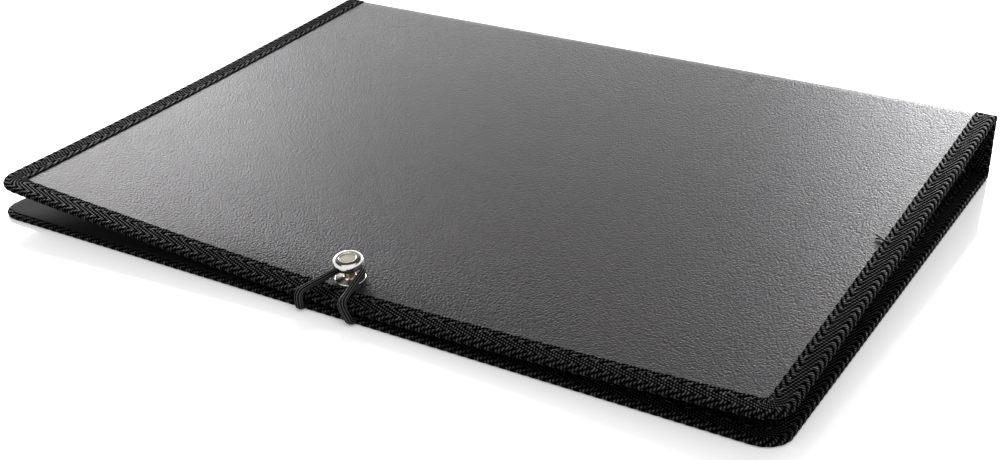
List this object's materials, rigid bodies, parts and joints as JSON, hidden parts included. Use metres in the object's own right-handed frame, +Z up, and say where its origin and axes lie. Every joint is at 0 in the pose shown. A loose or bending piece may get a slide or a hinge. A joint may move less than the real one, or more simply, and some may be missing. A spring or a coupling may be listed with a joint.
{
  "type": "choir folder",
  "caption": "Black sheet music folder with taped edges, elastic cords along the spine and a loop and stud closure.",
  "frame": {"origin": "middle of the closed folder's footprint, on the surface it lies on", "axes": "+X from tail to head, +Y from fore-edge to spine, +Z up through the front cover"},
  "size_m": [0.33, 0.2428, 0.0284],
  "materials": {
    "cover_sheet": "satin black sheet with a fine pebble grain",
    "binding_tape": "black herringbone twill tape, sewn",
    "pocket_sheet": "smooth black film",
    "elastic_cord": "black braided round elastic",
    "music_cord": "thin black braided elastic",
    "cord_bar": "moulded black",
    "stud_nickel": "polished nickel plate",
    "steel": "zinc plated"
  },
  "bodies": {
    "back_cover": {"back_cover": "cover_sheet", "back_binding": "binding_tape", "back_pocket": "pocket_sheet", "elastic_tails": "elastic_cord"},
    "spine": {"spine_panel": "cover_sheet", "back_crease": "cover_sheet", "front_crease": "cover_sheet", "spine_head_binding": "binding_tape", "spine_tail_binding": "binding_tape", "head_cord_bar": "cord_bar", "tail_cord_bar": "cord_bar", "cord_bar_rivets": "steel", "music_cord_1": "music_cord", "music_cord_2": "music_cord", "music_cord_3": "music_cord", "music_cord_4": "music_cord", "music_cord_5": "music_cord", "music_cord_6": "music_cord"},
    "front_cover": {"front_cover": "cover_sheet", "front_binding": "binding_tape", "front_pocket": "pocket_sheet", "stud_base": "stud_nickel", "stud_cap": "stud_nickel", "stud_washer": "steel", "stud_screw": "steel"},
    "closure_loop": {"elastic_loop": "elastic_cord"}
  },
  "joints": [
    {"name": "back_crease_hinge", "type": "hinge", "parent": "back_cover", "child": "spine", "pos_m": [0, 0.12035, 0.0011], "axis": [-1, 0, 0], "range_deg": [0, 90]},
    {"name": "front_crease_hinge", "type": "hinge", "parent": "spine", "child": "front_cover", "pos_m": [0, 0.12035, 0.0274], "axis": [-1, 0, 0], "range_deg": [0, 93]},
    {"name": "loop_release", "type": "hinge", "parent": "back_cover", "child": "closure_loop", "pos_m": [0, -0.12015, 0.004], "axis": [1, 0, 0], "range_deg": [0, 110], "deforming": ["elastic_loop"]}
  ],
  "couplings": [
    {"joint": "front_crease_hinge", "follows": "back_crease_hinge", "ratio": 1.033},
    {"joint": "loop_release", "follows": "back_crease_hinge", "ratio": 1.22}
  ]
}
